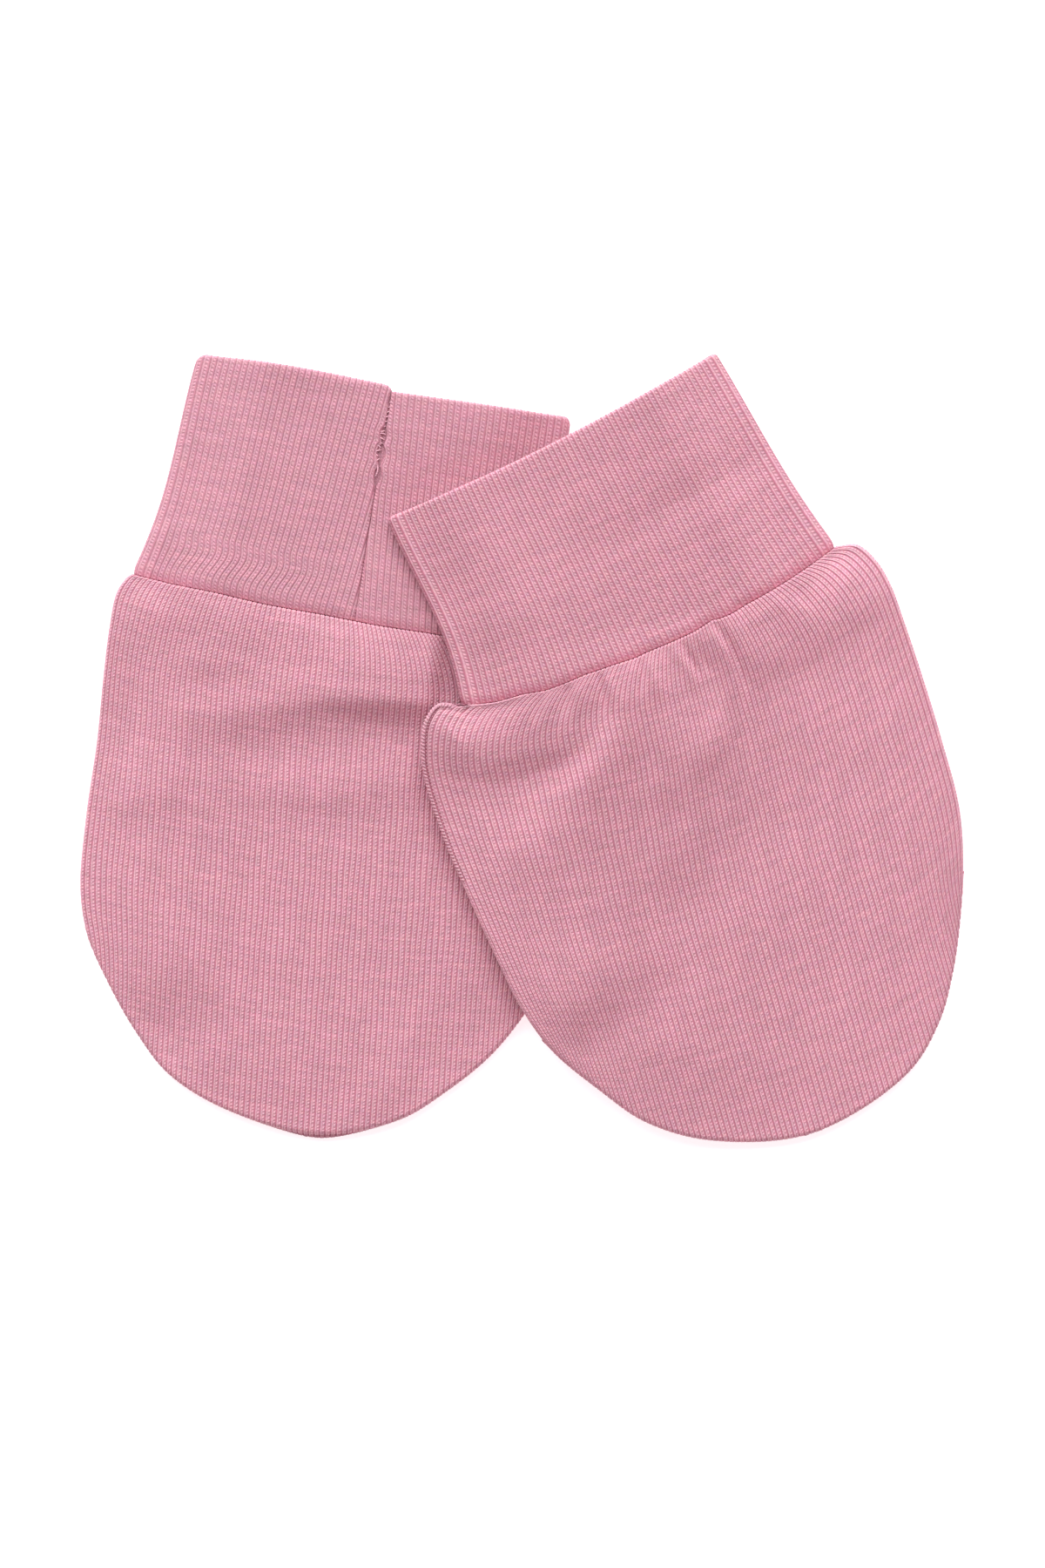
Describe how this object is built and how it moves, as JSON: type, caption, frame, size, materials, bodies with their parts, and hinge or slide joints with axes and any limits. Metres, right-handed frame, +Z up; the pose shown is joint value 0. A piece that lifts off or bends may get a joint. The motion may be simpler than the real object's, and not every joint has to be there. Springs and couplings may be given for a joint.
{
  "type": "pair of baby mittens",
  "caption": "Newborn baby mittens in fine pink rib knit with folded rib cuffs, laid flat with the right one resting partly on the left.",
  "frame": {"origin": "middle of the pair's outline seen from above, on the surface that it lies on", "axes": "+X to the right across both mittens, +Y from the mitten tips towards the cuffs, +Z up from the surface"},
  "size_m": [0.1372, 0.1221, 0.0108],
  "materials": {
    "left_mitten_front": "fine rib knit, soft and matt with a slight sheen",
    "left_mitten_back": "fine rib knit, soft and matt with a slight sheen",
    "left_mitten_cuff": "fine rib knit, soft and matt with a slight sheen",
    "right_mitten_front": "fine rib knit, soft and matt with a slight sheen",
    "right_mitten_back": "fine rib knit, soft and matt with a slight sheen",
    "right_mitten_cuff": "fine rib knit, soft and matt with a slight sheen"
  },
  "bodies": {
    "root": {"left_mitten_front": "left_mitten_front", "left_mitten_back": "left_mitten_back", "left_mitten_cuff": "left_mitten_cuff", "right_mitten_front": "right_mitten_front", "right_mitten_back": "right_mitten_back", "right_mitten_cuff": "right_mitten_cuff"}
  },
  "joints": []
}
